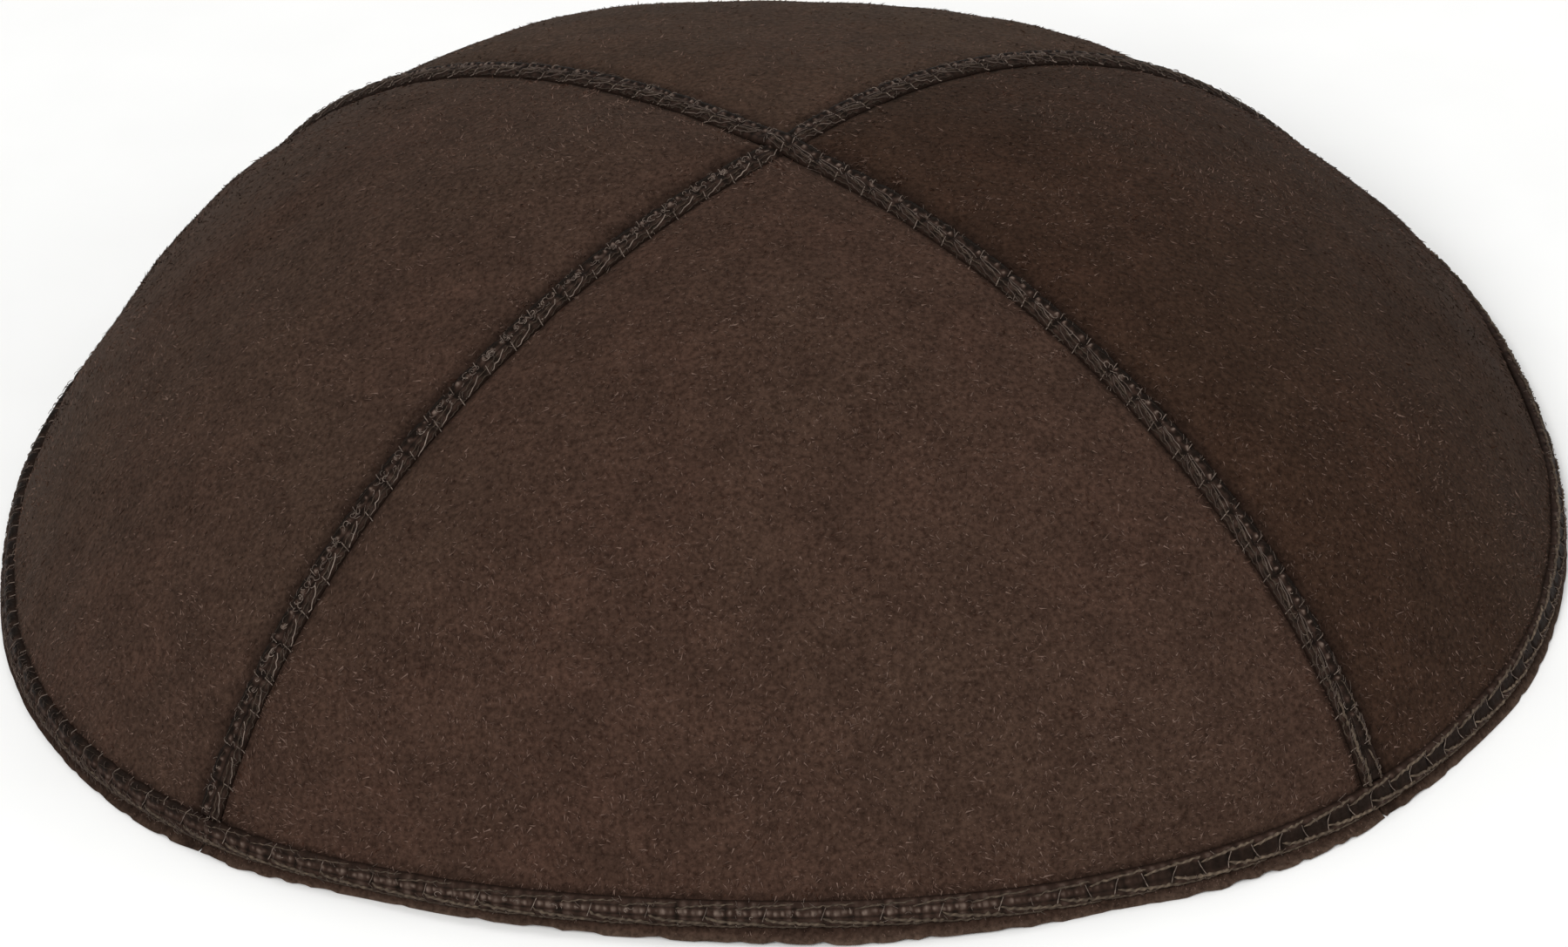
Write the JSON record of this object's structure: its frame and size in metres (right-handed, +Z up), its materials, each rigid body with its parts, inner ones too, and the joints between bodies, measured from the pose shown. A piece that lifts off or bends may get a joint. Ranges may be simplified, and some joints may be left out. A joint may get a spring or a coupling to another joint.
{
  "type": "kippah skullcap",
  "caption": "Low domed suede skullcap of sewn triangular panels with a narrow dark ribbon over each seam and round the rim.",
  "frame": {"origin": "bottom centre of the cap, on the surface that it rests on", "axes": "+Z up through the crown, -Y to the front panel, +X to the right panel"},
  "size_m": [0.1669, 0.1699, 0.049],
  "materials": {
    "suede": "brown suede, short raised nap",
    "ribbon": "dark brown ribbon, finely ribbed, slight sheen",
    "thread": "thin tan sewing thread"
  },
  "bodies": {
    "root": {"panel_front": "suede", "panel_right": "suede", "panel_back": "suede", "panel_left": "suede", "seam_trim_long": "ribbon", "seam_trim_front_left": "ribbon", "seam_trim_back_right": "ribbon", "rim_trim": "ribbon"}
  },
  "joints": []
}
